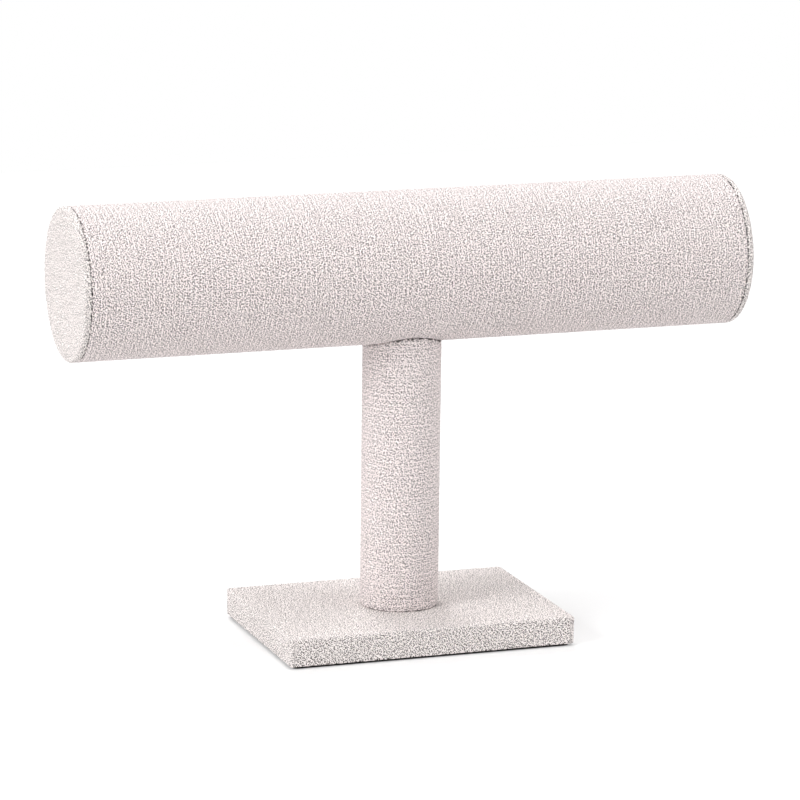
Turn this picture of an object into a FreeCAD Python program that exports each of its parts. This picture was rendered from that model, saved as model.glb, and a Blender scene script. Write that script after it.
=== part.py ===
"""Bracelet display stand: a cloth-covered bar on one post, on a rectangular cloth-covered foot.

Each hard core and each piece of cloth on it is a piece of its own. The stand faces -Y, the bar runs along X,
and the origin is on the table, under the middle of the post. Lengths are in millimetres.
"""
import FreeCAD, Part
import math
import os
import Sketcher

# The driving dimensions, each written once and read from the sheet by the pieces.
SIZES = {
    "bar_length": (300.0, "the bar from end to end, over the covered end discs"),
    "bar_axis_height": (162.0, "the bar's axis above the table"),
    "tube_diameter": (63.5, "outside of the bar's paperboard tube"),
    "tube_wall": (3.0, "wall of the tube"),
    "cloth": (1.0, "thickness of the napped cloth, on every covered piece"),
    "fold_bevel": (0.6, "bevel of the cloth's folds, on the foot and at the bar's ends, beside the discs"),
    "disc_bevel": (1.0, "bevel of the end discs' outer edges, where the cloth is pulled over the card"),
    "seam_gap": (0.4, "gap between the two cloth edges at a butt seam"),
    "turn_in": (14.0, "length of bar cloth that is glued inside the tube"),
    "card": (1.0, "thickness of the card in each end disc"),
    "disc_hem": (8.0, "width of the cloth turned over behind each card"),
    "dart_width": (3.0, "width of each dart at the hem's inner edge"),
    "dart_count": (8, "darts round the hem of an end disc"),
    "plug_length": (9.0, "thickness of the board plug in each end of the tube"),
    "dowel_diameter": (32.0, "the post's wooden dowel"),
    "board_width": (127.0, "the foot's board, along the bar"),
    "board_depth": (88.5, "the foot's board, across the bar"),
    "board_thickness": (10.0, "the foot's board"),
    "board_corner": (1.2, "rounding of the board's upright edges"),
    "base_hem": (13.0, "width of the cloth turned under the foot"),
    "mitre_gap": (0.6, "gap between two hems where they meet at a corner"),
    "fold_line": (0.4, "width and depth of the line at each corner's folded cloth"),
    "fold_inset": (3.0, "distance of that line from the corner"),
    "liner": (1.0, "thickness of the felt under the foot"),
    "liner_inset": (1.4, "how far the felt's edge lies inside the foot's edge"),
    "liner_corner": (3.0, "rounding of the felt's corners"),
    "screw_diameter": (4.0, "wood screws, outside of the thread"),
    "screw_head": (8.0, "diameter of the screws' heads"),
    "recess_width": (1.1, "width of the cross recess's slots"),
    "recess_length": (4.4, "length of the cross recess's slots"),
    "recess_depth": (1.3, "depth of the cross recess"),
    "base_screw_length": (35.0, "the screws up through the foot"),
    "base_screw_spacing": (14.0, "distance between those two screws"),
    "bar_screw_length": (40.0, "the screw down through the bar, under its head"),
    "pan_height": (2.6, "height of that screw's round head"),
    "pan_bevel": (1.1, "bevel of that head's upper edge"),
    "screw_clearance": (0.25, "space round a screw where it doesn't bite"),
    "block_length": (22.0, "length of the block inside the tube that spreads the screw's load"),
    "block_height": (6.0, "height of that block at its middle"),
}

# Sizes that follow from others, written as the sheet's own expressions.
BAR_RADIUS = "(Sizes.tube_diameter / 2 + Sizes.cloth)"
TUBE_RADIUS = "(Sizes.tube_diameter / 2)"
BORE_RADIUS = "(Sizes.tube_diameter / 2 - Sizes.tube_wall)"
LINING_RADIUS = f"({BORE_RADIUS} - Sizes.cloth)"
DISC_THICKNESS = "(Sizes.card + 2 * Sizes.cloth)"
SEAM_PLANE = f"(Sizes.bar_length / 2 - {DISC_THICKNESS})"
TUBE_END = f"({SEAM_PLANE} - Sizes.cloth)"
TURN_IN_END = f"({TUBE_END} - Sizes.turn_in)"
HEM_RADIUS = f"({TUBE_RADIUS} - Sizes.disc_hem)"
DOWEL_RADIUS = "(Sizes.dowel_diameter / 2)"
POST_RADIUS = f"({DOWEL_RADIUS} + Sizes.cloth)"
BOARD_BOTTOM = "(Sizes.liner + Sizes.cloth)"
BOARD_TOP = f"({BOARD_BOTTOM} + Sizes.board_thickness)"
BASE_TOP = f"({BOARD_TOP} + Sizes.cloth)"
BOARD_HALF_WIDTH = "(Sizes.board_width / 2)"
BOARD_HALF_DEPTH = "(Sizes.board_depth / 2)"
BASE_HALF_WIDTH = f"({BOARD_HALF_WIDTH} + Sizes.cloth)"
BASE_HALF_DEPTH = f"({BOARD_HALF_DEPTH} + Sizes.cloth)"
OPENING_HALF_WIDTH = f"({BOARD_HALF_WIDTH} - Sizes.base_hem)"
OPENING_HALF_DEPTH = f"({BOARD_HALF_DEPTH} - Sizes.base_hem)"
AXIS_OVER_BASE = f"(Sizes.bar_axis_height - {BASE_TOP})"
SCREW_RADIUS = "(Sizes.screw_diameter / 2)"
HEAD_RADIUS = "(Sizes.screw_head / 2)"
SCREW_HOLE = f"({SCREW_RADIUS} + Sizes.screw_clearance)"
HALF_SPACING = "(Sizes.base_screw_spacing / 2)"
BLOCK_TOP = f"({BORE_RADIUS} - Sizes.block_height)"
ZERO = "0"

LINE_START, LINE_END, CENTRE = range(1, 4)
QUARTER_TURN = math.pi / 2
NEAR = 1e-4

document = FreeCAD.newDocument("display_stand")
sheet = document.addObject("Spreadsheet::Sheet", "Sizes")
for row, (alias, (size, meaning)) in enumerate(SIZES.items(), start=1):
    sheet.set(f"A{row}", alias)
    sheet.set(f"B{row}", str(size))
    sheet.setAlias(f"B{row}", alias)
    sheet.set(f"C{row}", meaning)
document.recompute()

pieces = []


def value(expression):
    """The number that an expression on the sheet gives."""
    return float(sheet.evalExpression(expression))


def piece(name, z=ZERO, turned=False):
    """A new body at a height, turned half round the upright axis where it mirrors its twin."""
    body = document.addObject("PartDesign::Body", name)
    body.Label = name
    body.AllowCompound = True
    if turned:
        body.Placement.Rotation = FreeCAD.Rotation(FreeCAD.Vector(0, 0, 1), 180)
    body.setExpression("Placement.Base.z", z)
    pieces.append(body)
    return body


def new_sketch(body, name, plane, level=ZERO):
    """An empty sketch on one of the body's own planes, moved along its normal to level."""
    sketch = body.newObject("Sketcher::SketchObject", f"{body.Name}_{name}")
    support = next(f for f in body.Origin.OriginFeatures if f.Role == f"{plane}_Plane")
    sketch.AttachmentSupport = [(support, "")]
    sketch.MapMode = "FlatFace"
    sketch.setExpression("AttachmentOffset.Base.z", level)
    return sketch


def place_point(sketch, line, end, x, y):
    """Ties one point of a sketch to the sheet by its two distances from the origin.

    A constraint knows the X axis, whose start is the origin, as line -1, and the Y axis as line -2.
    """
    for kind, axis, expression in (("DistanceX", -2, x), ("DistanceY", -1, y)):
        if expression == ZERO:
            sketch.addConstraint(Sketcher.Constraint("PointOnObject", line, end, axis))
            continue
        size = value(expression)
        number = sketch.addConstraint(Sketcher.Constraint(kind, -1, LINE_START, line, end, size))
        sketch.setExpression(f"Constraints[{number}]", expression)


def add_outline(sketch, corners):
    """Adds a closed outline of straight lines, each corner a pair of expressions."""
    first = sketch.GeometryCount
    points = [FreeCAD.Vector(value(x), value(y), 0) for x, y in corners]
    for start, end in zip(points, points[1:] + points[:1]):
        sketch.addGeometry(Part.LineSegment(start, end))
    for i, (x, y) in enumerate(corners):
        before = first + (i - 1) % len(corners)
        sketch.addConstraint(Sketcher.Constraint("Coincident", before, LINE_END, first + i, LINE_START))
        place_point(sketch, first + i, LINE_START, x, y)
    return sketch


def add_rectangle(sketch, half_width, half_height, middle_x=ZERO, middle_y=ZERO):
    """Adds a rectangle about a middle point."""
    left, right = f"{middle_x} - {half_width}", f"{middle_x} + {half_width}"
    low, high = f"{middle_y} - {half_height}", f"{middle_y} + {half_height}"
    return add_outline(sketch, [(left, low), (right, low), (right, high), (left, high)])


def add_rounded_rectangle(sketch, half_width, half_height, corner):
    """Adds a rectangle about the origin with rounded corners."""
    first = sketch.GeometryCount
    near_x, near_y = f"({half_width} - {corner})", f"({half_height} - {corner})"
    sides = [
        ((f"-{near_x}", f"-({half_height})"), (near_x, f"-({half_height})")),
        ((f"{half_width}", f"-{near_y}"), (f"{half_width}", near_y)),
        ((near_x, f"{half_height}"), (f"-{near_x}", f"{half_height}")),
        ((f"-({half_width})", near_y), (f"-({half_width})", f"-{near_y}")),
    ]
    centres = [(near_x, f"-{near_y}"), (near_x, near_y), (f"-{near_x}", near_y), (f"-{near_x}", f"-{near_y}")]
    for i, (start, end) in enumerate(sides):
        ends = [FreeCAD.Vector(value(x), value(y), 0) for x, y in (start, end)]
        sketch.addGeometry(Part.LineSegment(*ends))
        place_point(sketch, first + i, LINE_START, *start)
        place_point(sketch, first + i, LINE_END, *end)
    for i, (x, y) in enumerate(centres):
        circle = Part.Circle(FreeCAD.Vector(value(x), value(y), 0), FreeCAD.Vector(0, 0, 1), value(corner))
        arc = sketch.addGeometry(Part.ArcOfCircle(circle, (i - 1) * QUARTER_TURN, i * QUARTER_TURN))
        after = first + (i + 1) % len(sides)
        sketch.addConstraint(Sketcher.Constraint("Coincident", first + i, LINE_END, arc, LINE_START))
        sketch.addConstraint(Sketcher.Constraint("Coincident", arc, LINE_END, after, LINE_START))
        size = sketch.addConstraint(Sketcher.Constraint("Radius", arc, value(corner)))
        sketch.setExpression(f"Constraints[{size}]", corner)
    return sketch


def add_circle(sketch, radius, x=ZERO, y=ZERO):
    """Adds a circle of a radius from the sheet."""
    centre = FreeCAD.Vector(value(x), value(y), 0)
    number = sketch.addGeometry(Part.Circle(centre, FreeCAD.Vector(0, 0, 1), value(radius)))
    size = sketch.addConstraint(Sketcher.Constraint("Radius", number, value(radius)))
    sketch.setExpression(f"Constraints[{size}]", radius)
    place_point(sketch, number, CENTRE, x, y)
    return sketch


def settle(body, feature, cuts=False, before=0.0):
    """Recomputes, and makes sure that the feature worked and, where it cuts, that it cut something."""
    document.recompute()
    if {"Invalid", "Error"} & set(feature.State):
        raise ValueError(f"{feature.Name} failed: {feature.getStatusString()}")
    if cuts and body.Shape.Volume > before - NEAR:
        raise ValueError(f"{feature.Name} cuts nothing")
    return feature


def pad(body, name, sketch, length, midplane=False):
    """Adds a straight stretch of material from a sketch."""
    feature = body.newObject("PartDesign::Pad", f"{body.Name}_{name}")
    feature.Profile = sketch
    feature.Midplane = midplane
    feature.setExpression("Length", length)
    return settle(body, feature)


def pocket(body, name, sketch, depth=None, forward=False, midplane=False):
    """Cuts a sketch out, backward along its normal unless forward, to a depth or through everything."""
    before = body.Shape.Volume
    feature = body.newObject("PartDesign::Pocket", f"{body.Name}_{name}")
    feature.Profile = sketch
    feature.Reversed = forward
    feature.Midplane = midplane
    if depth is None:
        feature.Type = "ThroughAll"
    else:
        feature.setExpression("Length", depth)
    return settle(body, feature, cuts=True, before=before)


def revolve(body, name, sketch, axis):
    """Turns a sketch all the way round one of its own axes."""
    feature = body.newObject("PartDesign::Revolution", f"{body.Name}_{name}")
    feature.Profile = sketch
    feature.ReferenceAxis = (sketch, [axis])
    feature.Angle = 360
    return settle(body, feature)


def dress(body, name, feature, size, wanted):
    """Bevels the feature's edges that pass a test."""
    names = [f"Edge{i}" for i, edge in enumerate(feature.Shape.Edges, start=1) if wanted(edge)]
    if not names:
        raise ValueError(f"{body.Name}_{name} finds no edge")
    dressed = body.newObject("PartDesign::Chamfer", f"{body.Name}_{name}")
    dressed.Base = (feature, names)
    dressed.setExpression("Size", size)
    return settle(body, dressed)


def pattern(body, name, originals, axis, copies):
    """Repeats features round an axis of a sketch."""
    feature = body.newObject("PartDesign::PolarPattern", f"{body.Name}_{name}")
    feature.Originals = originals
    feature.Axis = axis
    feature.Angle = 360
    feature.setExpression("Occurrences", copies)
    body.Tip = feature
    return settle(body, feature)


def is_at_height(height):
    """A test for an edge that lies flat at one height."""
    def wanted(edge):
        return abs(edge.BoundBox.ZMin - height) < NEAR and abs(edge.BoundBox.ZMax - height) < NEAR
    return wanted


def is_rim(x, radius):
    """A test for a full circle round the X axis, at one distance along it either way, and of one radius."""
    def wanted(edge):
        curve = edge.Curve
        return isinstance(curve, Part.Circle) and abs(curve.Radius - radius) < NEAR \
            and abs(abs(curve.Center.x) - x) < NEAR and abs(curve.Axis.x) > 1 - NEAR
    return wanted


def cut_screw_holes(body, level, radius, depth=None, forward=False):
    """Cuts the two holes of the foot's screws."""
    sketch = new_sketch(body, "screw_holes_sketch", "XY", level)
    add_circle(sketch, radius, f"-{HALF_SPACING}")
    add_circle(sketch, radius, HALF_SPACING)
    return pocket(body, "screw_holes", sketch, depth, forward)


def cut_recess(body, level, forward=False, x=ZERO):
    """Cuts the cross-shaped driver recess into a screw's head."""
    sketch = new_sketch(body, "recess_sketch", "XY", level)
    arm, half = "(Sizes.recess_length / 2)", "(Sizes.recess_width / 2)"
    corners = []
    step = [(arm, f"-{half}"), (arm, half), (half, half)]
    for _ in range(4):
        corners += step
        step = [(f"-({across})", along) for along, across in step]
    add_outline(sketch, [(f"{x} + {along}", across) for along, across in corners])
    return pocket(body, "recess", sketch, "Sizes.recess_depth", forward)


def cut_saddle(body):
    """Cuts the post's top to the round of the covered bar, so that it seats all over."""
    sketch = new_sketch(body, "saddle_sketch", "YZ")
    add_circle(sketch, BAR_RADIUS, ZERO, AXIS_OVER_BASE)
    return pocket(body, "saddle", sketch, midplane=True)


# The foot: a board, its cloth, the felt under it and the two screws up into the post.

def base_board():
    """The foot's board, with two countersunk holes from below."""
    body = piece("base_board", z=BOARD_BOTTOM)
    plan = new_sketch(body, "plan", "XY")
    add_rounded_rectangle(plan, BOARD_HALF_WIDTH, BOARD_HALF_DEPTH, "Sizes.board_corner")
    pad(body, "slab", plan, "Sizes.board_thickness")
    centres = new_sketch(body, "hole_centres", "XY")
    add_circle(centres, SCREW_HOLE, f"-{HALF_SPACING}")
    add_circle(centres, SCREW_HOLE, HALF_SPACING)
    document.recompute()
    before = body.Shape.Volume
    holes = body.newObject("PartDesign::Hole", "base_board_holes")
    holes.Profile = centres
    holes.Reversed = True
    holes.DepthType = "ThroughAll"
    holes.setExpression("Diameter", f"2 * {SCREW_HOLE}")
    holes.HoleCutType = "Countersink"
    holes.HoleCutCustomValues = True
    holes.HoleCutCountersinkAngle = 90
    holes.setExpression("HoleCutDiameter", "Sizes.screw_head + 2 * Sizes.screw_clearance")
    settle(body, holes, cuts=True, before=before)


def base_cover():
    """The foot's cloth: over the top and sides, and turned under with mitred corners."""
    body = piece("base_cover", z="Sizes.liner")
    plan = new_sketch(body, "plan", "XY")
    add_rounded_rectangle(plan, BASE_HALF_WIDTH, BASE_HALF_DEPTH, "(Sizes.board_corner + Sizes.cloth)")
    height = f"{BASE_TOP} - Sizes.liner"
    block = pad(body, "block", plan, height)
    upper = dress(body, "upper_folds", block, "Sizes.fold_bevel", is_at_height(value(height)))
    dress(body, "lower_folds", upper, "Sizes.fold_bevel", is_at_height(0))
    space = new_sketch(body, "board_plan", "XY", "Sizes.cloth")
    add_rounded_rectangle(space, BOARD_HALF_WIDTH, BOARD_HALF_DEPTH, "Sizes.board_corner")
    pocket(body, "board_space", space, "Sizes.board_thickness", forward=True)
    opening = new_sketch(body, "opening_plan", "XY")
    add_rectangle(opening, OPENING_HALF_WIDTH, OPENING_HALF_DEPTH)
    pocket(body, "opening", opening, "Sizes.cloth", forward=True)
    cut_screw_holes(body, "Sizes.cloth + Sizes.board_thickness", SCREW_HOLE, forward=True)
    cut_mitres(body)
    cut_fold_lines(body)


def cut_mitres(body):
    """Cuts the thin diagonal gap between two hems at each of the four corners underneath."""
    sketch = new_sketch(body, "mitre_plan", "XY")
    lean, start, end = "(Sizes.mitre_gap / 2)", "Sizes.mitre_gap", "Sizes.board_corner"
    inner_x, inner_y = f"({OPENING_HALF_WIDTH} - {start})", f"({OPENING_HALF_DEPTH} - {start})"
    outer_x, outer_y = f"({BOARD_HALF_WIDTH} - {end})", f"({BOARD_HALF_DEPTH} - {end})"
    gap = [
        (f"({inner_x} + {lean})", f"({inner_y} - {lean})"),
        (f"({outer_x} + {lean})", f"({outer_y} - {lean})"),
        (f"({outer_x} - {lean})", f"({outer_y} + {lean})"),
        (f"({inner_x} - {lean})", f"({inner_y} + {lean})"),
    ]
    for along in ("", "-"):
        for across in ("", "-"):
            add_outline(sketch, [(f"{along}{x}", f"{across}{y}") for x, y in gap])
    return pocket(body, "mitres", sketch, "Sizes.cloth", forward=True)


def cut_fold_lines(body):
    """Cuts the upright line where the folded cloth ends, beside each corner on the two short sides."""
    sketch = new_sketch(body, "fold_line_plan", "XY")
    for along in ("", "-"):
        for across in ("", "-"):
            add_rectangle(sketch, "Sizes.fold_line", "(Sizes.fold_line / 2)", f"{along}{BASE_HALF_WIDTH}",
                          f"{across}({BASE_HALF_DEPTH} - Sizes.fold_inset)")
    return pocket(body, "fold_lines", sketch, f"{BOARD_TOP} - Sizes.liner", forward=True)


def base_liner():
    """The felt under the foot, thicker in the middle, where it fills the space between the hems."""
    body = piece("base_liner")
    plan = new_sketch(body, "plan", "XY")
    add_rounded_rectangle(plan, f"({BASE_HALF_WIDTH} - Sizes.liner_inset)",
                          f"({BASE_HALF_DEPTH} - Sizes.liner_inset)", "Sizes.liner_corner")
    pad(body, "sheet", plan, "Sizes.liner")
    middle = new_sketch(body, "middle_plan", "XY")
    add_rectangle(middle, OPENING_HALF_WIDTH, OPENING_HALF_DEPTH)
    pad(body, "middle", middle, "Sizes.liner + Sizes.cloth")


def base_screws():
    """Two countersunk wood screws, up through the foot into the dowel."""
    body = piece("base_screws", z=BOARD_BOTTOM)
    profile = new_sketch(body, "profile", "XZ")
    shank = f"{HALF_SPACING} + {SCREW_RADIUS}"
    add_outline(profile, [
        (HALF_SPACING, ZERO),
        (f"{HALF_SPACING} + {HEAD_RADIUS}", ZERO),
        (shank, f"{HEAD_RADIUS} - {SCREW_RADIUS}"),
        (shank, "Sizes.base_screw_length"),
        (HALF_SPACING, "Sizes.base_screw_length"),
    ])
    screw = revolve(body, "turned", profile, "Edge5")
    recess = cut_recess(body, ZERO, forward=True, x=HALF_SPACING)
    pattern(body, "pair", [screw, recess], (profile, ["V_Axis"]), "2")


# The post: a dowel and its cloth, both cut to the round of the bar.

def post_core():
    """The dowel, with the holes that its screws have cut."""
    body = piece("post_core", z=BASE_TOP)
    section = new_sketch(body, "section", "XY")
    add_circle(section, DOWEL_RADIUS)
    pad(body, "dowel", section, AXIS_OVER_BASE)
    cut_saddle(body)
    cut_screw_holes(body, ZERO, SCREW_RADIUS, f"{BOARD_BOTTOM} + Sizes.base_screw_length - {BASE_TOP}", True)
    tip = f"{AXIS_OVER_BASE} - {BLOCK_TOP} - Sizes.bar_screw_length"
    bar_hole = new_sketch(body, "bar_screw_sketch", "XY", tip)
    add_circle(bar_hole, SCREW_RADIUS)
    pocket(body, "bar_screw_hole", bar_hole, forward=True)


def post_cover():
    """The post's cloth, wrapped round the dowel with its two edges butted at the back."""
    body = piece("post_cover", z=BASE_TOP)
    section = new_sketch(body, "section", "XY")
    add_circle(section, POST_RADIUS)
    add_circle(section, DOWEL_RADIUS)
    pad(body, "sleeve", section, AXIS_OVER_BASE)
    cut_saddle(body)
    seam = new_sketch(body, "seam_sketch", "XY")
    add_rectangle(seam, "(Sizes.seam_gap / 2)", "Sizes.cloth", ZERO, f"({DOWEL_RADIUS} + Sizes.cloth / 2)")
    pocket(body, "seam", seam, forward=True)


# The bar: a paperboard tube in its cloth, with a block and a screw inside that hold it on the post.

def bar_tube():
    """The tube, with a hole in its underside for the screw."""
    body = piece("bar_tube", z="Sizes.bar_axis_height")
    section = new_sketch(body, "section", "YZ")
    add_circle(section, TUBE_RADIUS)
    add_circle(section, BORE_RADIUS)
    pad(body, "wall", section, f"2 * {TUBE_END}", midplane=True)
    cut_bar_screw_hole(body)


def cut_bar_screw_hole(body):
    """Cuts the clearance hole of the bar's screw, from the axis down."""
    sketch = new_sketch(body, "screw_hole_sketch", "XY")
    add_circle(sketch, SCREW_HOLE)
    return pocket(body, "screw_hole", sketch)


def bar_cover():
    """The bar's cloth, turned over both ends of the tube and glued inside, with its seam at the back."""
    body = piece("bar_cover", z="Sizes.bar_axis_height")
    profile = new_sketch(body, "profile", "XZ")
    half = [
        (SEAM_PLANE, BAR_RADIUS),
        (SEAM_PLANE, LINING_RADIUS),
        (TURN_IN_END, LINING_RADIUS),
        (TURN_IN_END, BORE_RADIUS),
        (TUBE_END, BORE_RADIUS),
        (TUBE_END, TUBE_RADIUS),
    ]
    add_outline(profile, half + [(f"-{x}", radius) for x, radius in reversed(half)])
    sleeve = revolve(body, "sleeve", profile, "H_Axis")
    dress(body, "folds", sleeve, "Sizes.fold_bevel", is_rim(value(SEAM_PLANE), value(BAR_RADIUS)))
    cut_bar_screw_hole(body)
    seam = new_sketch(body, "seam_sketch", "XZ")
    add_rectangle(seam, "(Sizes.bar_length / 2)", "(Sizes.seam_gap / 2)")
    pocket(body, "seam", seam)


def bar_block():
    """The block on the floor of the tube, flat on top, under the screw's head."""
    body = piece("bar_block", z="Sizes.bar_axis_height")
    section = new_sketch(body, "section", "YZ")
    add_circle(section, BORE_RADIUS)
    pad(body, "round", section, "Sizes.block_length", midplane=True)
    above = new_sketch(body, "flat_sketch", "YZ")
    reach = "Sizes.tube_diameter"
    corners = [(f"-{reach}", f"-{BLOCK_TOP}"), (reach, f"-{BLOCK_TOP}"), (reach, reach), (f"-{reach}", reach)]
    add_outline(above, corners)
    pocket(body, "flat", above, midplane=True)
    cut_bar_screw_hole(body)


def bar_screw():
    """The round-headed wood screw, down through the block, tube and cloth into the dowel."""
    body = piece("bar_screw", z=f"Sizes.bar_axis_height - {BLOCK_TOP}")
    profile = new_sketch(body, "profile", "XZ")
    add_outline(profile, [
        (ZERO, "Sizes.pan_height"),
        (HEAD_RADIUS, "Sizes.pan_height"),
        (HEAD_RADIUS, ZERO),
        (SCREW_RADIUS, ZERO),
        (SCREW_RADIUS, "-Sizes.bar_screw_length"),
        (ZERO, "-Sizes.bar_screw_length"),
    ])
    screw = revolve(body, "turned", profile, "V_Axis")
    dress(body, "head", screw, "Sizes.pan_bevel", is_at_height(value("Sizes.pan_height")))
    cut_recess(body, "Sizes.pan_height")


# The bar's two ends, each modelled for +X; the left one is turned half round.

def end_plug(side):
    """The board plug that closes the tube inside its turned-in cloth."""
    body = piece(f"{side}_end_plug", z="Sizes.bar_axis_height", turned=side == "left")
    section = new_sketch(body, "section", "YZ", f"{SEAM_PLANE} - Sizes.plug_length")
    add_circle(section, LINING_RADIUS)
    pad(body, "disc", section, "Sizes.plug_length")


def end_card(side):
    """The round card inside the end disc."""
    body = piece(f"{side}_end_card", z="Sizes.bar_axis_height", turned=side == "left")
    section = new_sketch(body, "section", "YZ", f"{SEAM_PLANE} + Sizes.cloth")
    add_circle(section, TUBE_RADIUS)
    pad(body, "disc", section, "Sizes.card")


def end_cover(side):
    """The end disc's cloth: over the face and edge of the card, and turned in behind it with darts."""
    body = piece(f"{side}_end_cover", z="Sizes.bar_axis_height", turned=side == "left")
    profile = new_sketch(body, "profile", "XZ")
    back, card_back = SEAM_PLANE, f"({SEAM_PLANE} + Sizes.cloth)"
    card_front, face = f"({SEAM_PLANE} + Sizes.cloth + Sizes.card)", "(Sizes.bar_length / 2)"
    add_outline(profile, [
        (face, ZERO),
        (face, BAR_RADIUS),
        (back, BAR_RADIUS),
        (back, HEM_RADIUS),
        (card_back, HEM_RADIUS),
        (card_back, TUBE_RADIUS),
        (card_front, TUBE_RADIUS),
        (card_front, ZERO),
    ])
    shell = revolve(body, "shell", profile, "H_Axis")
    dress(body, "front", shell, "Sizes.disc_bevel", is_rim(value(face), value(BAR_RADIUS)))
    dart = new_sketch(body, "dart_sketch", "YZ", SEAM_PLANE)
    add_outline(dart, [
        ("-Sizes.dart_width / 2", f"{HEM_RADIUS} - Sizes.cloth"),
        ("Sizes.dart_width / 2", f"{HEM_RADIUS} - Sizes.cloth"),
        (ZERO, TUBE_RADIUS),
    ])
    cut = pocket(body, "dart", dart, "Sizes.cloth", forward=True)
    pattern(body, "darts", [cut], (dart, ["N_Axis"]), "Sizes.dart_count")


def write_pieces():
    """Checks every object and writes each piece to its own file."""
    document.recompute()
    for thing in document.Objects:
        if {"Invalid", "Error"} & set(thing.State):
            raise ValueError(f"{thing.Name} failed: {thing.State}")
    for body in pieces:
        if body.Shape.isNull() or not body.Shape.isValid() or not body.Shape.Solids:
            raise ValueError(f"{body.Label} has no valid shape")
    os.makedirs("parts", exist_ok=True)
    for body in pieces:
        body.Shape.exportStep(f"parts/{body.Label}.step")
        box = body.Shape.BoundBox
        print(body.Label, len(body.Shape.Solids), round(body.Shape.Volume, 1),
              [round(v, 2) for v in (box.XMin, box.XMax, box.YMin, box.YMax, box.ZMin, box.ZMax)])


base_board()
base_cover()
base_liner()
base_screws()
post_core()
post_cover()
bar_tube()
bar_cover()
bar_block()
bar_screw()
for side in ("left", "right"):
    end_plug(side)
    end_card(side)
    end_cover(side)
write_pieces()
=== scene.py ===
"""Bracelet display stand, dressed for the camera: a bar, a post and a foot, all covered in one napped cloth.

The sections follow the stand as it is put together, from the foot's board up to the discs on the bar's ends.
Lengths are in metres, but a cloth's own coordinates, from which its ribs and nap are worked out, are in
millimetres on the flat cloth.
"""

import math
import bmesh
import bpy
import numpy as np
from mathutils import Matrix, Vector, noise


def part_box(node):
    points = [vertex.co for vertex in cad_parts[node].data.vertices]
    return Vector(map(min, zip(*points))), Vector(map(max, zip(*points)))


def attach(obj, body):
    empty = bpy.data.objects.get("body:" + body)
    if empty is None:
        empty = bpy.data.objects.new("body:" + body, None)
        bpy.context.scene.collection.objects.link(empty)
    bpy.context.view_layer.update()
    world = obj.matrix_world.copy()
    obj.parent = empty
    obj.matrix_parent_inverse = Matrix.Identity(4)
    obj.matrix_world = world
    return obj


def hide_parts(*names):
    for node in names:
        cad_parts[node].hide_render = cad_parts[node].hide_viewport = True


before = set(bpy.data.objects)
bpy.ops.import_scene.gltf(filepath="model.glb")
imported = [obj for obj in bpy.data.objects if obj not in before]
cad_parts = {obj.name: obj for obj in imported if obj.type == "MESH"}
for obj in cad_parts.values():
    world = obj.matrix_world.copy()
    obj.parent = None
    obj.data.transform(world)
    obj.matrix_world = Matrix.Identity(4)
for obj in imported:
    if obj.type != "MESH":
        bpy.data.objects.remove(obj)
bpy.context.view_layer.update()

# The foot's board.
# A rectangle of brown fibreboard that gives the stand its weight. It is wholly inside its cloth, and two
# screws go up through it into the post.
MM = 0.001


class Wire:
    """An output of one node. Sums, products and the like of it add Math nodes to the same finish."""

    def __init__(self, finish, output):
        self.finish, self.output = finish, output

    def maths(self, operation, *values, clamp=False):
        settings = {"operation": operation, "use_clamp": clamp}
        return self.finish.node("ShaderNodeMath", settings, dict(enumerate(values)))

    def __add__(self, other):
        return self.maths("ADD", self, other)

    def __sub__(self, other):
        return self.maths("SUBTRACT", self, other)

    def __rsub__(self, other):
        return self.maths("SUBTRACT", other, self)

    def __mul__(self, other):
        return self.maths("MULTIPLY", self, other)

    __radd__, __rmul__ = __add__, __mul__

    def held(self):
        """The same value, held between 0 and 1."""
        return self.maths("ADD", self, 0.0, clamp=True)


class Finish:
    """A material, or a world's light, and the one way in which its nodes are added."""

    def __init__(self, name, store=bpy.data.materials):
        self.data = store.new(name)
        self.data.use_nodes = True
        self.data.node_tree.nodes.clear()

    def node(self, kind, settings, inputs, output=0):
        """Adds a node, sets it up, fills its sockets with numbers or wires, and gives one of its outputs."""
        tree = self.data.node_tree
        made = tree.nodes.new(kind)
        for key, value in settings.items():
            setattr(made, key, value)
        for key, value in inputs.items():
            if isinstance(value, Wire):
                tree.links.new(value.output, made.inputs[key])
            else:
                made.inputs[key].default_value = value
        return Wire(self, made.outputs[output]) if len(made.outputs) else None

    def mix(self, factor, first, second):
        """A colour between two others, through the colour sockets of a Mix node."""
        return self.node("ShaderNodeMix", {"data_type": "RGBA"}, {0: factor, 6: first, 7: second}, output=2)

    def grain(self, place, scale, detail=2.0, roughness=0.5, distortion=0.0):
        """Noise from 0 to 1 at a place, its scale in waves per unit of the place."""
        sockets = {"Vector": place, "Scale": scale, "Detail": detail, "Roughness": roughness,
                   "Distortion": distortion}
        return self.node("ShaderNodeTexNoise", {}, sockets)

    def bump(self, height, depth):
        """A normal that is tilted by a height from 0 to 1, depth metres deep."""
        sockets = {"Height": height, "Distance": depth, "Strength": 1.0}
        return self.node("ShaderNodeBump", {}, sockets, "Normal")

    def surface(self, **sockets):
        """Ends the finish in one principled shader; a socket's name is written with underscores."""
        named = {key.replace("_", " "): value for key, value in sockets.items()}
        shader = self.node("ShaderNodeBsdfPrincipled", {}, named)
        self.node("ShaderNodeOutputMaterial", {}, {"Surface": shader})
        return self


def dress_node(finish, *nodes):
    """Gives a finish to the stand's own solid pieces."""
    for name in nodes:
        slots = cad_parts[name].data.materials
        slots.clear()
        slots.append(finish.data)


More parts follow.
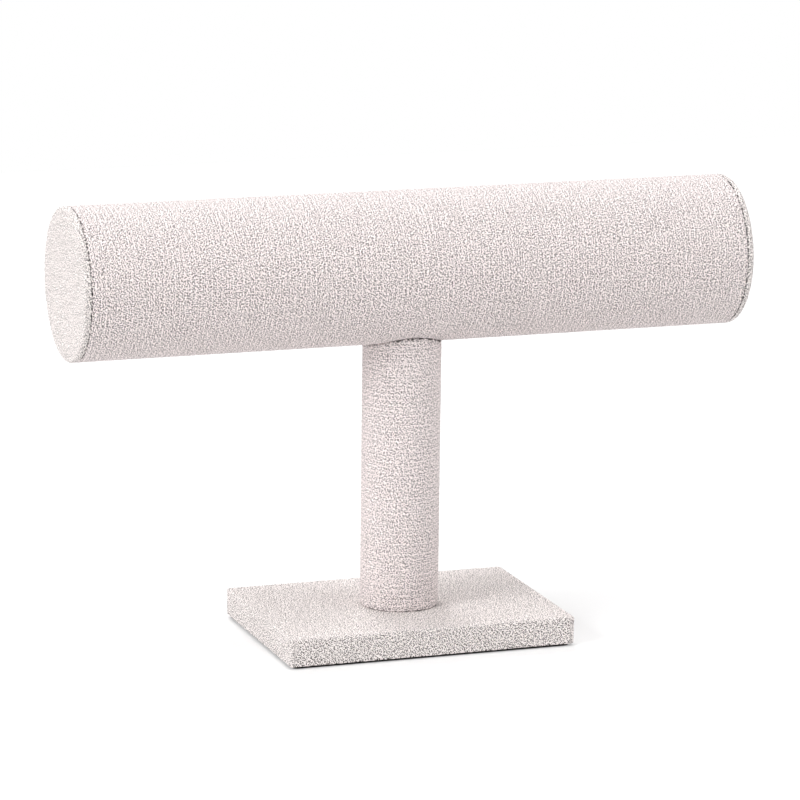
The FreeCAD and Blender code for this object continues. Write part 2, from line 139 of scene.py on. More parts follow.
def fibreboard():
    """Pressed wood fibre: fine brown speckles, the darker ones rougher."""
    finish = Finish("fibreboard")
    place = finish.node("ShaderNodeTexCoord", {}, {}, "Object")
    speckle = finish.grain(place, scale=900.0, detail=4.0, roughness=0.7)
    cloud = finish.grain(place, scale=60.0)
    colour = finish.mix(speckle * 0.7 + cloud * 0.3, (0.30, 0.19, 0.105, 1), (0.56, 0.41, 0.26, 1))
    normal = finish.bump(speckle, 0.2 * MM)
    return finish.surface(Base_Color=colour, Roughness=0.95 - 0.2 * speckle, Normal=normal)


dress_node(fibreboard(), "base_board", "left_end_plug", "right_end_plug")

# The foot's cloth.
# One piece of napped, finely ribbed cloth, pinkish off-white, pulled over the board's top and sides and
# turned under it. Its corners are folded on the short sides and mitred underneath.
THREAD_ANGLE_ON_FOOT = math.radians(52)
FOOT_FOLD = 0.9 * MM
FOOT_CORNER = 1.5 * MM
FOOT_PIT_SHADE = 3.3
FOOT_RINGS_PER_RIB = 2.5
POINTS_ALONG, POINTS_ACROSS, POINTS_ROUND_CORNER = 178, 126, 8
HEM_WIDTH, HEM_STEP = 13 * MM, 1.5 * MM
FOLD_LINE_INSET, FOLD_LINE_REACH, SIDE_REACH = 3.0 * MM, 0.25 * MM, 0.2 * MM
FOLD_LINE_DIP, FOLD_LINE_SHADE = 0.2 * MM, 0.3
WELD_REACH = 2e-6
# The cloth itself: pitches and heights in millimetres, waves per millimetre, and the ribs' wander and a
# pit's reach as shares of a pitch.
RIB_PITCH = 1.135
RIB_HEIGHT, PAIR_HEIGHT, TUFT_HEIGHT = 0.03, 0.02, 0.15
RIB_SHARE, PAIR_SHARE = 0.3, 0.2
SLOW_WANDER, SLOW_WAVES = 0.18, 0.045
QUICK_WANDER, QUICK_WAVES = 0.05, 0.4
TUFT_WAVES = 0.75
TUFT_PITCH, TUFT_SCATTER = 0.63, 0.7
PIT_REACH, PIT_STEEPNESS = 0.48, 5.0
PIT_DEPTH, PIT_VARIETY, PIT_WAVES = 1.57, 7.0, 1.8
CREST_FILL = 1.5
CLOUD_WAVES = 0.035
# Its looks: the dark colour of the painted shade in a pit and in a fold, how dark each gets, and how
# much painted light lessens the pits' painted shade where the cloth faces sideways or up.
PIT_SHADE_COLOUR, FOLD_SHADE_COLOUR = (0.035, 0.028, 0.028, 1), (0.02, 0.017, 0.017, 1)
FOLD_SHADE_STRENGTH, FOLD_BRIDGES, BRIDGES_PER_METRE = 3.7, 6.2, 1000.0
FOLD_SHADE_PULL = 1.4
MEAN_NAP = 0.74
NAP_RELIEF = 0.12 * MM
SIDEWAYS_PIT_LIGHT, UPWARD_PIT_LIGHT = 0.36, 0.3


def cloth(name, warmer, cooler):
    """The stand's cloth in one dye lot: close tufts along fine ribs, with pits of many depths between.

    The mesh says how near a rib's crest each point is, how deep the painted shade in the nap's pits is
    there, and how much painted shade a fold or seam lays on it. The pits are painted shade in the colour as
    well as a bump. Loose fibres bridge a fold, so its painted shade is broken.
    """
    finish = Finish(name)
    place = finish.node("ShaderNodeAttribute", {"attribute_name": "place"}, {}, "Vector")
    crest = finish.node("ShaderNodeAttribute", {"attribute_name": "crest"}, {}, "Fac")
    pit_shade = finish.node("ShaderNodeAttribute", {"attribute_name": "pit_shade"}, {}, "Fac")
    shade = finish.node("ShaderNodeAttribute", {"attribute_name": "shade"}, {}, "Fac")
    tufts = {"Vector": place, "Scale": 1 / TUFT_PITCH, "Randomness": TUFT_SCATTER}
    to_pit = finish.node("ShaderNodeTexVoronoi", {"voronoi_dimensions": "2D"}, tufts, "Distance")
    variety = finish.grain(place, PIT_WAVES, detail=0.0)
    depth = ((variety - 0.5) * PIT_VARIETY + PIT_DEPTH - crest * CREST_FILL).held()
    height = 1.0 - ((PIT_REACH - to_pit) * PIT_STEEPNESS).held() * depth
    spot = finish.node("ShaderNodeTexCoord", {}, {}, "Object")
    bridges = finish.grain(spot, BRIDGES_PER_METRE, detail=0.0)
    # Painted shade along the folds and seams, broken where loose fibres bridge them.
    fold = (shade * (FOLD_SHADE_STRENGTH - bridges * FOLD_BRIDGES)).held()
    tint = finish.mix(finish.grain(place, CLOUD_WAVES, detail=3.0), warmer, cooler)
    shade_colour = finish.mix(fold, PIT_SHADE_COLOUR, FOLD_SHADE_COLOUR)
    # Painted shade in the nap's pits: how far the colour dips below the mean level is set by the mesh, per
    # piece and by which way the cloth faces.
    level = MEAN_NAP + (height - MEAN_NAP) * pit_shade
    colour = finish.mix((level - fold * FOLD_SHADE_PULL).held(), shade_colour, tint)
    return finish.surface(Base_Color=colour, Roughness=0.95, Normal=finish.bump(height, NAP_RELIEF),
                          Specular_IOR_Level=0.2, Sheen_Weight=0.1, Sheen_Roughness=0.6,
                          Sheen_Tint=(1.0, 0.96, 0.95, 1))


GREYISH_CLOTH = cloth("greyish_cloth", (0.967, 0.892, 0.874, 1), (0.956, 0.896, 0.872, 1))


def wave(places, scale, seed=0.0):
    """Smooth noise between about -1 and 1 for each of some places on the flat cloth."""
    spots = np.reshape(places, (-1, 3)) * scale
    found = [noise.noise((x + seed, y, z)) for x, y, z in spots.tolist()]
    return np.reshape(found, np.shape(places)[:-1])


def ribs(places):
    """Height of the ribs and tufts in millimetres, from the cloth's middle, and how near a crest each is."""
    wander = SLOW_WANDER * wave(places, SLOW_WAVES) + QUICK_WANDER * wave(places, QUICK_WAVES, seed=7.0)
    turns = places[..., 0] / RIB_PITCH + wander
    rib = np.cos(2 * np.pi * turns)
    pair = np.cos(np.pi * turns)
    tufts = wave(places, TUFT_WAVES, seed=3.0)
    height = RIB_HEIGHT * rib + PAIR_HEIGHT * pair + TUFT_HEIGHT * tufts
    return height, 0.5 + RIB_SHARE * rib + PAIR_SHARE * pair


def turned(flat, angle):
    """Coordinates on the cloth, turned so that its ribs run at an angle."""
    x, y = flat[..., 0], flat[..., 1]
    across = x * math.cos(angle) + y * math.sin(angle)
    along = y * math.cos(angle) - x * math.sin(angle)
    return np.stack([across, along, flat[..., 2]], axis=-1)


def cloth_piece(name, points, places, proud, shade, closed_rows=False, finish=GREYISH_CLOTH,
                pit_shade=1.0):
    """Makes a covered form from a grid of points, each row of which is a ring round it.

    places are the points' own spots on the flat cloth, and proud says how much of the nap shows at each row.
    shade is the painted shade that a fold or seam lays on each point, 0 where there is none, and the last
    argument says how deep the painted shade in the nap's pits is. With closed_rows, the last row joins the
    first.
    """
    rows, columns = points.shape[:2]
    row = np.arange(rows if closed_rows else rows - 1)[:, None]
    column = np.arange(columns)[None, :]
    next_row, next_column = (row + 1) % rows, (column + 1) % columns
    corners = [row * columns + column, row * columns + next_column,
               next_row * columns + next_column, next_row * columns + column]
    faces = np.stack(np.broadcast_arrays(*corners), axis=-1).reshape(-1, 4)
    mesh = bpy.data.meshes.new(name)
    mesh.from_pydata(points.reshape(-1, 3).tolist(), [], faces.tolist())
    height, crest = ribs(places)
    mesh.attributes.new("place", "FLOAT_VECTOR", "POINT").data.foreach_set("vector", np.ravel(places))
    for key, numbers in (("crest", crest), ("shade", shade), ("lift", height * MM * proud[:, None])):
        layer = mesh.attributes.new(key, "FLOAT", "POINT")
        layer.data.foreach_set("value", np.ravel(np.broadcast_to(numbers, (rows, columns))))
    welded = bmesh.new()
    welded.from_mesh(mesh)
    bmesh.ops.remove_doubles(welded, verts=welded.verts, dist=WELD_REACH)
    bmesh.ops.recalc_face_normals(welded, faces=welded.faces)
    welded.to_mesh(mesh)
    welded.free()
    raise_nap(mesh, pit_shade)
    mesh.polygons.foreach_set("use_smooth", [True] * len(mesh.polygons))
    mesh.materials.append(finish.data)
    piece = bpy.data.objects.new(name, mesh)
    bpy.context.scene.collection.objects.link(piece)
    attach(piece, "root")
    return piece


def raise_nap(mesh, pit_shade):
    """Moves each point of a welded mesh outward by its lift, and says how deep the pits' painted shade is.

    Painted light lessens it most on the discs and on the foot's short sides, where the cloth faces sideways,
    and next most where it faces up; where the cloth faces down, the painted shade is deeper.
    """
    count = len(mesh.vertices)
    spots, normals, lift = np.empty(count * 3), np.empty(count * 3), np.empty(count)
    mesh.vertices.foreach_get("co", spots)
    mesh.vertex_normals.foreach_get("vector", normals)
    mesh.attributes["lift"].data.foreach_get("value", lift)
    mesh.vertices.foreach_set("co", spots + normals * np.repeat(lift, 3))
    mesh.attributes.remove(mesh.attributes["lift"])
    # Painted light in the pits where the cloth faces sideways or up, and deeper painted shade where it faces
    # down.
    pit_shade_by_facing = pit_shade * (1 - SIDEWAYS_PIT_LIGHT * normals[::3] ** 4 - UPWARD_PIT_LIGHT * normals[2::3])
    mesh.attributes.new("pit_shade", "FLOAT", "POINT").data.foreach_set("value", pit_shade_by_facing)
    mesh.update()


def steps(start, end, size):
    """Evenly spaced numbers from start up to but not including end, about size apart."""
    count = max(1, round(abs(end - start) / size))
    return [start + (end - start) * i / count for i in range(count)]


def arc(centre, radius, start, end, pieces):
    """Points on an arc in a section, its angles in degrees, without the last one."""
    angles = [math.radians(start + (end - start) * i / pieces) for i in range(pieces)]
    return [(centre[0] + radius * math.cos(a), centre[1] + radius * math.sin(a)) for a in angles]


def foot_outline(half_width, half_depth, corner, inset):
    """Points round a rectangle with rounded corners, drawn in from it by an inset."""
    radius = max(corner - inset, 0.0)
    x, y = half_width - inset - radius, half_depth - inset - radius
    middles = [(x, -y), (x, y), (-x, y), (-x, -y)]
    points = []
    for quarter, middle in enumerate(middles):
        points += arc(middle, radius, 90 * (quarter - 1), 90 * quarter, POINTS_ROUND_CORNER)
        angle = math.pi / 2 * quarter
        outward = np.array([radius * math.cos(angle), radius * math.sin(angle)])
        start, end = middle + outward, middles[(quarter + 1) % 4] + outward
        count = POINTS_ACROSS if quarter % 2 == 0 else POINTS_ALONG
        points += [tuple(start + (end - start) * i / count) for i in range(count)]
    return np.array(points)


def foot_rings(section, half_width, half_depth, corner):
    """A section of insets and levels, drawn as rings round a rectangle with rounded corners."""
    insets, levels = np.array(section).T
    plan = np.array([foot_outline(half_width, half_depth, corner, inset) for inset in insets])
    heights = np.broadcast_to(levels[:, None, None], plan.shape[:2] + (1,))
    return np.concatenate([plan, heights], axis=-1)


def foot_cloth():
    """The foot's cloth, as rings from the middle of its top, over the edge and back inside to the middle."""
    low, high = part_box("base_cover")
    board_low, board_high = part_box("base_board")
    thick = high.z - board_high.z
    half_width, half_depth = high.x, high.y
    pitch = RIB_PITCH * MM / FOOT_RINGS_PER_RIB
    section = [(inset, high.z) for inset in steps(half_depth, FOOT_FOLD, pitch)]
    section += [(FOOT_FOLD - x, z) for x, z in arc((0, high.z - FOOT_FOLD), FOOT_FOLD, 90, 0, pieces=5)]
    section += [(0.0, z) for z in steps(high.z - FOOT_FOLD, low.z + FOOT_FOLD, pitch)]
    section += [(FOOT_FOLD - x, z) for x, z in arc((0, low.z + FOOT_FOLD), FOOT_FOLD, 0, -90, pieces=5)]
    under = len(section)
    section += [(inset, low.z) for inset in steps(FOOT_FOLD, thick + HEM_WIDTH, HEM_STEP)]
    section += [(thick + HEM_WIDTH, low.z), (thick + HEM_WIDTH, board_low.z)]
    section += [(thick, board_low.z), (thick, board_high.z), (half_depth, board_high.z)]
    points = foot_rings(section, half_width, half_depth, FOOT_CORNER)
    plan = points[..., :2].copy()
    insets, levels = np.array(section).T[:, :, None, None]
    dropped = np.clip(high.z - levels, 0, None)
    to_side = np.where(np.abs(plan) >= np.array([half_width, half_depth]) - FOOT_CORNER, np.sign(plan), 0)
    flat = plan + to_side * dropped * (insets < half_depth / 2)
    places = np.concatenate([flat / MM, np.zeros(flat.shape[:2] + (1,))], axis=-1)
    on_fold_line = np.abs(np.abs(plan[..., 1]) - (half_depth - FOLD_LINE_INSET)) < FOLD_LINE_REACH
    on_fold_line &= np.abs(plan[..., 0]) > half_width - SIDE_REACH
    # The fold line gets painted shade as well as its real dip.
    shade = np.where(on_fold_line, FOLD_LINE_SHADE, 0.0)
    points[..., 0] -= np.where(on_fold_line, np.sign(points[..., 0]) * FOLD_LINE_DIP, 0)
    proud = np.where(np.arange(len(section)) < under, 1.0, 0.0)
    return cloth_piece("foot_cloth", points, turned(places, THREAD_ANGLE_ON_FOOT), proud, shade,
                       pit_shade=FOOT_PIT_SHADE)


foot = foot_cloth()
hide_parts("base_cover")

# The felt under the foot.
# A rectangle of thin dark felt, glued on last, over the cloth's hem and the screws' heads. From the front it
# is the thin black line between the foot and the table.
FELT_EDGE = 0.35 * MM
FELT_CORNER, FELT_STEP = 3 * MM, 3 * MM


def felt():
    """Pressed dark felt: short matted fibres with no weave."""
    finish = Finish("dark_felt")
    place = finish.node("ShaderNodeAttribute", {"attribute_name": "place"}, {}, "Vector")
    mat = finish.grain(place, scale=1.4, detail=4.0, roughness=0.7, distortion=1.0)
    colour = finish.mix(mat, (0.010, 0.009, 0.009, 1), (0.040, 0.036, 0.036, 1))
    return finish.surface(Base_Color=colour, Roughness=0.95, Normal=finish.bump(mat, 0.25 * MM),
                          Specular_IOR_Level=0.15)


def underside_felt():
    """The felt, flat below, with the thicker middle that fills the space between the hems."""
    low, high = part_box("base_liner")
    board_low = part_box("base_board")[0]
    hem_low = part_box("base_cover")[0]
    inset = high.x - (-board_low.x - HEM_WIDTH)
    section = [(x, low.z) for x in steps(high.y, FELT_EDGE, FELT_STEP)]
    section += [(FELT_EDGE - x, z) for x, z in arc((0, low.z + FELT_EDGE), FELT_EDGE, -90, 0, pieces=3)]
    section += [(FELT_EDGE - x, z) for x, z in arc((0, hem_low.z - FELT_EDGE), FELT_EDGE, 0, 90, pieces=3)]
    section += [(FELT_EDGE, hem_low.z), (inset, hem_low.z), (inset, high.z), (high.y, high.z)]
    points = foot_rings(section, high.x, high.y, FELT_CORNER)
    return cloth_piece("underside_felt", points, points / MM, np.zeros(len(section)), 0.0, finish=felt())


under = underside_felt()
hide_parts("base_liner")

# The screws and the block.
# Two countersunk wood screws hold the foot on the post from below, and one round-headed screw holds the bar
# on it from inside, through a shaped block of wood that spreads its load on the tube.


def zinc():
    """Bright zinc plate on steel, with fine turning marks round the shank."""
    finish = Finish("zinc_plated_steel")
    place = finish.node("ShaderNodeTexCoord", {}, {}, "Object")
    marks = finish.grain(place, scale=2500.0, detail=3.0)
    colour = finish.mix(marks, (0.52, 0.52, 0.49, 1), (0.70, 0.71, 0.69, 1))
    return finish.surface(Base_Color=colour, Metallic=1.0, Roughness=0.28 + 0.2 * marks)


def hardwood():
    """Pale turned hardwood: long grain up the dowel, with fine pores."""
    finish = Finish("turned_hardwood")
    place = finish.node("ShaderNodeTexCoord", {}, {}, "Object")
    stretched = finish.node("ShaderNodeMapping", {}, {"Vector": place, "Scale": (420.0, 420.0, 14.0)})
    grain = finish.grain(stretched, scale=1.0, detail=4.0, distortion=0.4)
    pores = finish.grain(stretched, scale=4.0)
    colour = finish.mix(grain, (0.50, 0.34, 0.18, 1), (0.74, 0.57, 0.36, 1))
    normal = finish.bump(pores, 0.05 * MM)
    return finish.surface(Base_Color=colour, Roughness=0.6 + 0.2 * pores, Normal=normal)


dress_node(zinc(), "base_screws", "bar_screw")
dress_node(hardwood(), "post_core", "bar_block")

# The post's cloth.
# A strip of the same cloth wrapped round the dowel, its two edges butted in a straight seam at the back.
# Its top is cut to the round of the bar, and both ends are pushed tight against what they meet.
RINGS_PER_RIB = 3
POST_COLUMN = 0.62 * MM
POST_NAP, POST_PIT_SHADE = 0.9, 1.5
END_FOLD = 0.6 * MM
CREASE_MM, CREASE_FADE_MM = 0.4, 0.5
POST_FOOT_SHADE = 0.35
SADDLE_LEAST_SHADE, SADDLE_SHADE_TO_RIGHT = 0.25, 1.2
SEAM_DEPTH, SEAM_REACH, SEAM_SHADE = 0.7 * MM, 0.28 * MM, 0.75
BESIDE_SEAM = (0.12 * MM, 0.28 * MM, 0.5 * MM, 0.9 * MM)


def round_the_seam(radius, pitch):
    """Angles all the way round from a seam at angle 0, closer together beside it."""
    near = [distance / radius for distance in BESIDE_SEAM]
    count = round((2 * math.pi - 2 * near[-1]) * radius / pitch)
    middle = np.linspace(near[-1], 2 * math.pi - near[-1], count + 1)
    return np.concatenate([[0.0], near[:-1], middle, [2 * math.pi - angle for angle in near[-2::-1]]])


def seam_dip(angles, radius):
    """How much of the seam's depth there is at each angle."""
    distance = np.minimum(angles, 2 * math.pi - angles) * radius
    return np.exp(-(distance / SEAM_REACH) ** 2)


PINKISH_CLOTH = cloth("pinkish_cloth", (0.985, 0.883, 0.878, 1), (0.977, 0.890, 0.878, 1))


def post_cloth():
    """The post's cloth, as rings from its foot up the outside, over the saddle and down inside.

    The crease under the bar is darkest on the right, where the least light reaches it.
    """
    low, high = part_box("post_cover")
    bar_low, bar_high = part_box("bar_cover")
    radius, inner = high.x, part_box("post_core")[1].x
    bar_radius, axis = (bar_high.z - bar_low.z) / 2, (bar_high.z + bar_low.z) / 2
    angles = round_the_seam(radius, POST_COLUMN)
    outer = arc((radius - END_FOLD, low.z + END_FOLD), END_FOLD, -90, 0, pieces=4)
    outer += [(radius, z) for z in steps(low.z + END_FOLD, high.z, RIB_PITCH * MM / RINGS_PER_RIB)]
    over_saddle = arc((radius - END_FOLD, -END_FOLD), END_FOLD, 0, 90, pieces=4)
    over_saddle += [(radius - END_FOLD, 0.0), (inner, 0.0)]
    rims = np.array([r for r, _ in outer + over_saddle] + [inner, radius - END_FOLD])
    seam = seam_dip(angles, radius) * SEAM_DEPTH
    outside = np.clip((rims - inner) / (radius - inner), 0, 1)
    reach = rims[:, None] - outside[:, None] * seam
    x, y = reach * np.sin(angles), reach * np.cos(angles)
    saddle = axis - np.sqrt(bar_radius ** 2 - y ** 2)
    levels = np.zeros_like(reach)
    for i, (_, z) in enumerate(outer):
        levels[i] = np.minimum(z, saddle[i] - END_FOLD)
    for i, (_, z) in enumerate(over_saddle, start=len(outer)):
        levels[i] = saddle[i] + z
    levels[-2:] = low.z
    points = np.stack([x, y, levels], axis=-1)
    around = np.broadcast_to(angles * radius, reach.shape)
    places = np.stack([levels / MM, around / MM, np.zeros_like(reach)], axis=-1)
    depth = np.clip((radius - reach) / END_FOLD, 0, 1)
    to_end = np.minimum(levels - low.z, saddle - levels) / MM
    crease = np.exp(-np.clip(to_end - CREASE_MM, 0, None) / CREASE_FADE_MM)
    # Painted shade at both ends of the cloth: strongest in the crease under the bar, fading to the left,
    # weaker at the foot; the seam gets painted shade too.
    at_saddle = np.clip(1 + SADDLE_SHADE_TO_RIGHT * np.sin(angles), SADDLE_LEAST_SHADE, 1)
    end_shade = np.where(levels > (low.z + high.z) / 2, at_saddle, POST_FOOT_SHADE)
    shade = np.maximum(end_shade * (depth + crease), SEAM_SHADE * seam_dip(angles, radius))
    return cloth_piece("post_cloth", points, places, outside * POST_NAP, shade, closed_rows=True,
                       finish=PINKISH_CLOTH, pit_shade=POST_PIT_SHADE)


post = post_cloth()
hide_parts("post_cover")

# The bar's tube.
# A spiral-wound paperboard tube. Paperboard is also what stiffens the disc on each of its ends.


def paperboard():
    """Grey-brown paperboard with long matted fibres."""
    finish = Finish("paperboard")
    place = finish.node("ShaderNodeTexCoord", {}, {}, "Object")
    fibres = finish.grain(place, scale=500.0, detail=5.0, roughness=0.7, distortion=1.5)
    colour = finish.mix(fibres, (0.33, 0.25, 0.17, 1), (0.56, 0.46, 0.34, 1))
    return finish.surface(Base_Color=colour, Roughness=0.92, Normal=finish.bump(fibres, 0.08 * MM))


dress_node(paperboard(), "bar_tube", "left_end_card", "right_end_card")

# The bar's cloth.
# One sheet wrapped round the tube, butted in a seam along the back, and turned over both ends into the bore.
# Its ribs run round the bar.
BAR_COLUMN = 1.85 * MM
BAR_PIT_SHADE = 2.5
BAR_FOLD = 0.5 * MM
BAR_TURN_IN = 14 * MM
BAR_END_SHADE, BAR_END_NAP = 1.5, 1.3
HAIRBREADTH = 0.01 * MM


def bar_cloth():
    """The bar's cloth, as rings round the tube from one turned-in end to the other and back inside."""
    low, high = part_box("bar_cover")
    tube_low, tube_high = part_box("bar_tube")
    radius, axis = (high.z - low.z) / 2, (high.z + low.z) / 2
    tube_radius = (tube_high.z - tube_low.z) / 2
    thick = radius - tube_radius
    plug_low, plug_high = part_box("right_end_plug")
    lining = (plug_high.z - plug_low.z) / 2
    bore = lining + thick
    pitch = RIB_PITCH * MM / RINGS_PER_RIB
    outer = arc((low.x + BAR_FOLD, radius - BAR_FOLD), BAR_FOLD, 180, 90, pieces=4)
    outer += [(x, radius) for x in steps(low.x + BAR_FOLD, high.x - BAR_FOLD, pitch)]
    outer += arc((high.x - BAR_FOLD, radius - BAR_FOLD), BAR_FOLD, 90, 0, pieces=4)
    right = [(high.x, radius - BAR_FOLD), (high.x, lining), (tube_high.x - BAR_TURN_IN, lining),
             (tube_high.x - BAR_TURN_IN, bore), (tube_high.x, bore), (tube_high.x, tube_radius)]
    left = [(-x, r) for x, r in reversed(right[1:])]
    along, rims = np.array(outer + right + left).T
    angles = round_the_seam(radius, BAR_COLUMN)
    seam = seam_dip(angles, radius) * SEAM_DEPTH
    outside = (rims > tube_radius + HAIRBREADTH) * 1.0
    reach = rims[:, None] - outside[:, None] * seam
    x = np.broadcast_to(along[:, None], reach.shape)
    points = np.stack([x, reach * np.cos(angles), axis - reach * np.sin(angles)], axis=-1)
    around = np.broadcast_to(angles * radius, reach.shape)
    places = np.stack([x / MM, around / MM, np.zeros_like(x)], axis=-1)
    depth = np.clip((radius - rims) / BAR_FOLD, 0, 1)[:, None]
    # Painted shade in the folds where the cloth turns over the bar's ends, and along the seam.
    shade = np.maximum(BAR_END_SHADE * depth, SEAM_SHADE * seam_dip(angles, radius))
    proud = outside * np.clip(BAR_END_NAP - depth[:, 0], 0, 1)
    return cloth_piece("bar_cloth", points, places, proud, shade, closed_rows=True, finish=PINKISH_CLOTH,
                       pit_shade=BAR_PIT_SHADE)


bar = bar_cloth()
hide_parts("bar_cover")

# The discs on the bar's ends.
# Each is a round card covered in the same cloth, its hem turned in behind it, glued over the end of the bar.
# A thin groove is left between the two, darkened with painted shade.
DISC_CUT, DISC_HEM = 82 * MM, 8 * MM
DISC_FRONT, DISC_BACK = 1.4 * MM, 0.5 * MM
DISC_RINGS_PER_RIB = 2.6
DISC_EDGE_STEP = 0.4 * MM
DISC_COLUMNS = 380
DISC_NOISE_LEVEL = 40.0
DISC_NAP, DISC_PIT_SHADE = 0.8, 2.3
GROOVE_SHADE, GROOVE_EDGE_SHADE = 0.25, 1.4
THREAD_ANGLES_ON_DISCS = {"left": math.radians(62), "right": math.radians(118)}


def disc_cloth(side):
    """One disc's cloth, as rings from the middle of its face, over the edge, and back behind the card."""
    low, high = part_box(f"{side}_end_cover")
    card_low, card_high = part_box(f"{side}_end_card")
    axis, radius = (high.z + low.z) / 2, (high.z - low.z) / 2
    card_radius = (card_high.z - card_low.z) / 2
    outward = 1 if side == "right" else -1
    face, back = (high.x, low.x) if side == "right" else (-low.x, -high.x)
    card_face, card_back = (card_high.x, card_low.x) if side == "right" else (-card_low.x, -card_high.x)
    pitch = RIB_PITCH * MM / DISC_RINGS_PER_RIB
    hem = card_radius - DISC_HEM
    section = [(face, r) for r in steps(0, radius - DISC_FRONT, pitch)]
    section += arc((face - DISC_FRONT, radius - DISC_FRONT), DISC_FRONT, 0, 90, pieces=6)
    section += [(x, radius) for x in steps(face - DISC_FRONT, back + DISC_BACK, DISC_EDGE_STEP)]
    section += arc((back + DISC_BACK, radius - DISC_BACK), DISC_BACK, 90, 180, pieces=4)
    outer = len(section)
    section += [(back, radius - DISC_BACK), (back, hem), (card_back, hem), (card_back, card_radius),
                (card_face, card_radius), (card_face, 0.0)]
    along, rims = np.array(section).T
    angles = np.linspace(0, 2 * math.pi, DISC_COLUMNS, endpoint=False)
    reach = np.broadcast_to(rims[:, None], (len(rims), len(angles)))
    x = np.broadcast_to(outward * along[:, None], reach.shape)
    points = np.stack([x, outward * reach * np.cos(angles), axis + reach * np.sin(angles)], axis=-1)
    over_edge = (reach + (face - along)[:, None]) / MM
    noise_level = np.full(reach.shape, DISC_NOISE_LEVEL)
    flat = np.stack([over_edge * np.cos(angles), over_edge * np.sin(angles), noise_level], axis=-1)
    places = turned(flat, THREAD_ANGLES_ON_DISCS[side])
    behind = (along < back + DISC_BACK)[:, None]
    depth = np.clip((radius - reach) / DISC_BACK, 0, 1)
    # Painted shade in the groove behind the disc's rim.
    shade = np.where(behind, GROOVE_EDGE_SHADE * depth + GROOVE_SHADE, 0)
    proud = np.where(np.arange(len(section)) < outer, DISC_NAP, 0.0)
    return cloth_piece(f"{side}_disc_cloth", points, places, proud, shade, pit_shade=DISC_PIT_SHADE)


for side in ("left", "right"):
    disc = disc_cloth(side)
    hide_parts(f"{side}_end_cover")

# The floor and the light.
# A white floor, a large soft lamp to the left, and weaker ones above, behind and to the right. The camera
# and reflections see a white background with the stand's shadow on it. The floor has no underside.
FLOOR_SIZE = 2.4
FLOOR_GAP = 0.05 * MM
FLOOR_WHITE = (0.88, 0.88, 0.88, 1)
FLOOR_GREY = (0.78, 0.78, 0.78, 1)
FLOOR_GLOW = 0.2
ROOM_LIGHT = 0.58
LAMP_SIZE, LAMP_AIM = 0.9, (0, 0, 0.1)
LAMPS = {"left": ((-2.03, -0.72, 1.17), 31.5), "above": ((0.0, 0.0, 2.5), 15.3),
         "right": ((1.69, -1.21, 1.31), 13.3), "behind": ((0.0, 1.70, 1.80), 23.0)}


def seen_directly(finish):
    """1 for rays from the camera, a mirror or glass, and 0 for light on the stand."""
    path = {name: finish.node("ShaderNodeLightPath", {}, {}, name)
            for name in ("Is Camera Ray", "Is Glossy Ray", "Is Transmission Ray")}
    return (path["Is Camera Ray"] + path["Is Glossy Ray"] + path["Is Transmission Ray"]).held()


def white_floor():
    """White paper that is partly a light itself to the camera, and throws back less light than it shows."""
    finish = Finish("white_floor")
    grey_paper = finish.node("ShaderNodeBsdfDiffuse", {}, {"Color": FLOOR_GREY})
    white_paper = finish.node("ShaderNodeBsdfDiffuse", {}, {"Color": FLOOR_WHITE})
    glow = finish.node("ShaderNodeEmission", {}, {"Color": (1, 1, 1, 1), "Strength": 1.0})
    shown = finish.node("ShaderNodeMixShader", {}, {0: FLOOR_GLOW, 1: white_paper, 2: glow})
    paper = finish.node("ShaderNodeMixShader", {}, {0: seen_directly(finish), 1: grey_paper, 2: shown})
    underside = finish.node("ShaderNodeNewGeometry", {}, {}, "Backfacing")
    nothing = finish.node("ShaderNodeBsdfTransparent", {}, {})
    one_sided = finish.node("ShaderNodeMixShader", {}, {0: underside, 1: paper, 2: nothing})
    finish.node("ShaderNodeOutputMaterial", {}, {"Surface": one_sided})
    return finish


bpy.ops.mesh.primitive_plane_add(size=FLOOR_SIZE, location=(0, 0, -FLOOR_GAP))
floor = bpy.context.object
floor.name = "floor"
floor.data.materials.append(white_floor().data)

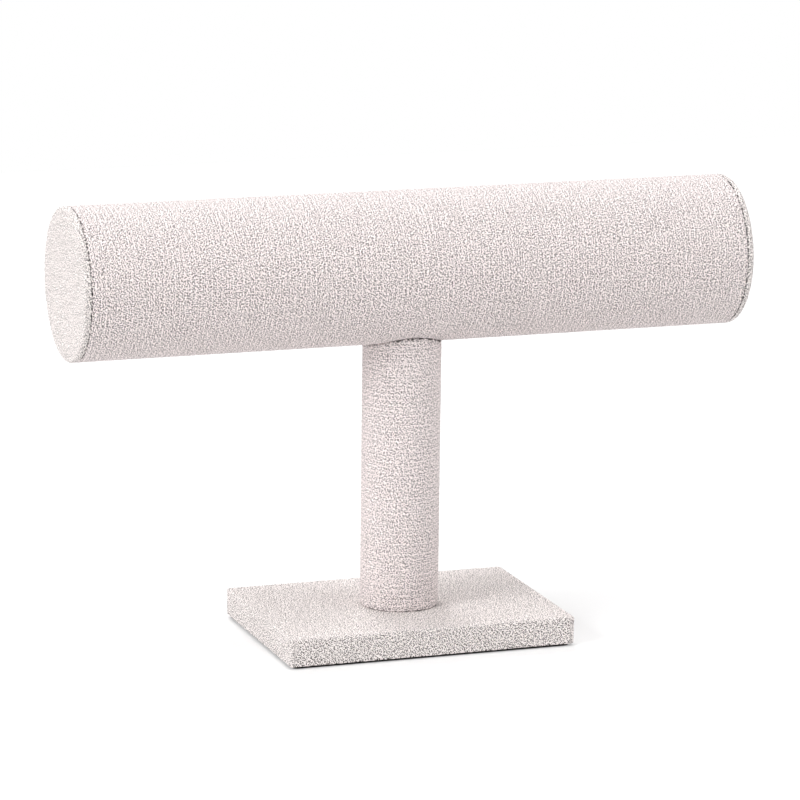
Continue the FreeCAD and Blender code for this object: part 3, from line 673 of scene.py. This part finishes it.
studio = Finish("studio", bpy.data.worlds)
room = studio.node("ShaderNodeBackground", {}, {"Color": (1, 1, 1, 1), "Strength": ROOM_LIGHT})
backdrop = studio.node("ShaderNodeBackground", {}, {"Color": (1, 1, 1, 1), "Strength": 1.0})
around = studio.node("ShaderNodeMixShader", {}, {0: seen_directly(studio), 1: room, 2: backdrop})
studio.node("ShaderNodeOutputWorld", {}, {"Surface": around})
bpy.context.scene.world = studio.data


def lamp(name, place, power):
    """A square soft lamp, aimed at the stand."""
    data = bpy.data.lights.new(name, "AREA")
    data.size, data.energy = LAMP_SIZE, power
    made = bpy.data.objects.new(name, data)
    made.location = place
    made.rotation_euler = (Vector(LAMP_AIM) - Vector(place)).to_track_quat("-Z", "Y").to_euler()
    bpy.context.scene.collection.objects.link(made)


for name, (place, power) in LAMPS.items():
    lamp(f"{name}_lamp", place, power)

# The camera.
# Its place, direction and lens come from the outlines in the photograph, fitted to the stand's sizes.
AZIMUTH, ELEVATION, ROLL = math.radians(19.755), math.radians(12.52), math.radians(0.67)
AIM, DISTANCE = Vector((-0.00057, 0, 0.10323)), 1.9017
LENS, SENSOR, FARTHEST = 198.49, 36.0, 50

ahead = Vector((math.sin(AZIMUTH) * math.cos(ELEVATION), math.cos(AZIMUTH) * math.cos(ELEVATION),
                -math.sin(ELEVATION)))
level = Vector((math.cos(AZIMUTH), -math.sin(AZIMUTH), 0))
upright = level.cross(ahead)
right_way = math.cos(ROLL) * level + math.sin(ROLL) * upright
up_way = math.cos(ROLL) * upright - math.sin(ROLL) * level
camera_data = bpy.data.cameras.new("camera")
camera_data.lens, camera_data.sensor_width = LENS, SENSOR
camera_data.clip_end = FARTHEST
camera = bpy.data.objects.new("camera", camera_data)
bpy.context.scene.collection.objects.link(camera)
camera.matrix_world = Matrix.Translation(AIM - DISTANCE * ahead) @ Matrix(
    (right_way, up_way, -ahead)).transposed().to_4x4()
bpy.context.scene.camera = camera
bpy.context.scene.view_settings.view_transform = "Standard"
